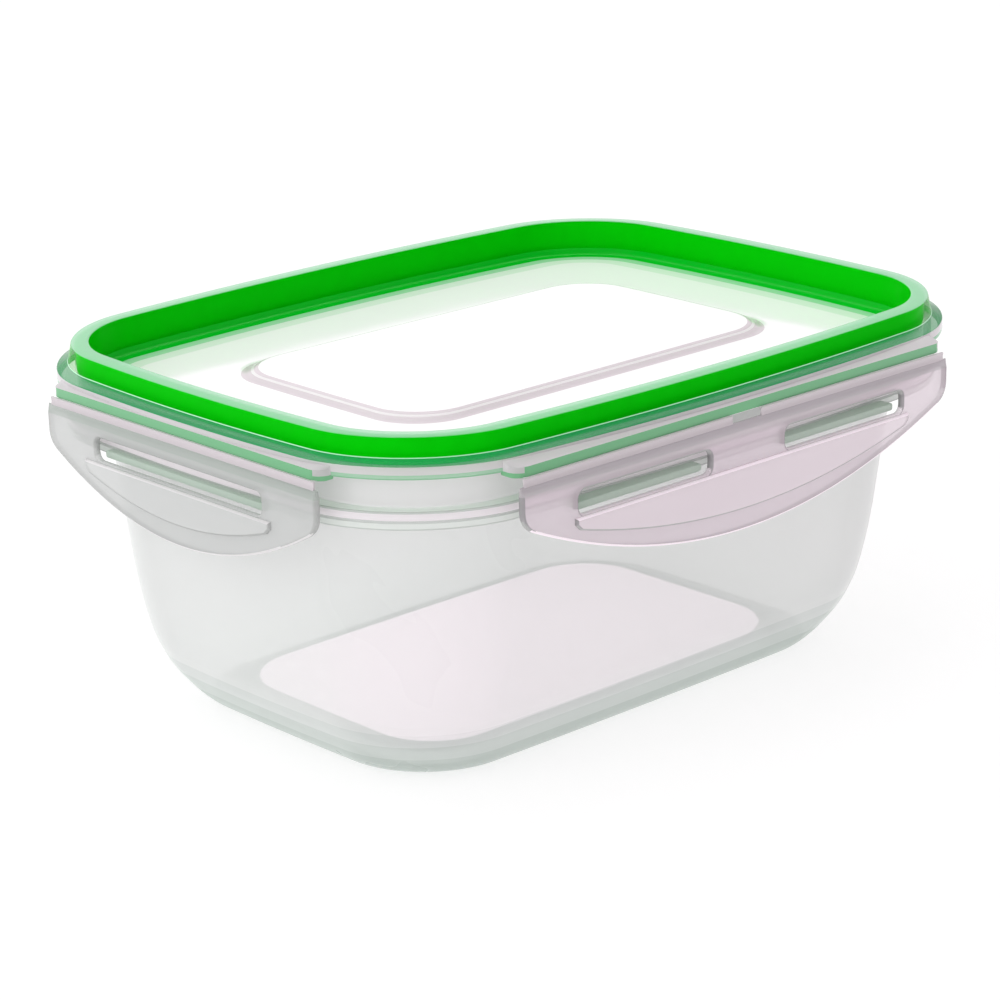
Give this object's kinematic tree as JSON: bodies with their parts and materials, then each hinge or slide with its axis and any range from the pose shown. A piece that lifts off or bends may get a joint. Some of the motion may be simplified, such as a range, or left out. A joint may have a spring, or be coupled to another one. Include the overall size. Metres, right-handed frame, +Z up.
{
  "type": "snap lid food container",
  "caption": "Clear rectangular food box with a clear lid, a green seal ring in the lid's channel, and a hinged snap flap on each side that hooks onto the tub's ledge.",
  "frame": {"origin": "centre of the overall box, at the underside of the foot ring", "axes": "+X along the long side, +Z up; the front long flap faces -Y"},
  "size_m": [0.1824, 0.1424, 0.08],
  "materials": {
    "tub": "satin, clear",
    "lid": "gloss, clear",
    "gasket": "satin",
    "web_front_a": "satin, clear",
    "web_front_b": "satin, clear",
    "web_back_a": "satin, clear",
    "web_back_b": "satin, clear",
    "web_left": "satin, clear",
    "web_right": "satin, clear",
    "flap_front": "satin, clear",
    "flap_back": "satin, clear",
    "flap_left": "satin, clear",
    "flap_right": "satin, clear"
  },
  "bodies": {
    "tub": {"tub": "tub"},
    "lid": {"lid": "lid", "gasket": "gasket", "web_front_a": "web_front_a", "web_front_b": "web_front_b", "web_back_a": "web_back_a", "web_back_b": "web_back_b", "web_left": "web_left", "web_right": "web_right"},
    "flap_front": {"flap_front": "flap_front"},
    "flap_back": {"flap_back": "flap_back"},
    "flap_left": {"flap_left": "flap_left"},
    "flap_right": {"flap_right": "flap_right"}
  },
  "joints": [
    {"name": "lid_lift", "type": "slide", "parent": "tub", "child": "lid", "axis": [0, 0, 1], "range_m": [0, 0.08]},
    {"name": "flap_front_hinge", "type": "hinge", "parent": "lid", "child": "flap_front", "pos_m": [0, -0.0696, 0.071], "axis": [-1, 0, 0], "range_deg": [-8, 135], "deforming": ["web_front_a", "web_front_b"]},
    {"name": "flap_back_hinge", "type": "hinge", "parent": "lid", "child": "flap_back", "pos_m": [0, 0.0696, 0.071], "axis": [1, 0, 0], "range_deg": [-8, 135], "deforming": ["web_back_a", "web_back_b"]},
    {"name": "flap_left_hinge", "type": "hinge", "parent": "lid", "child": "flap_left", "pos_m": [-0.0896, 0, 0.071], "axis": [0, 1, 0], "range_deg": [-8, 135], "deforming": ["web_left"]},
    {"name": "flap_right_hinge", "type": "hinge", "parent": "lid", "child": "flap_right", "pos_m": [0.0896, 0, 0.071], "axis": [0, -1, 0], "range_deg": [-8, 135], "deforming": ["web_right"]}
  ]
}
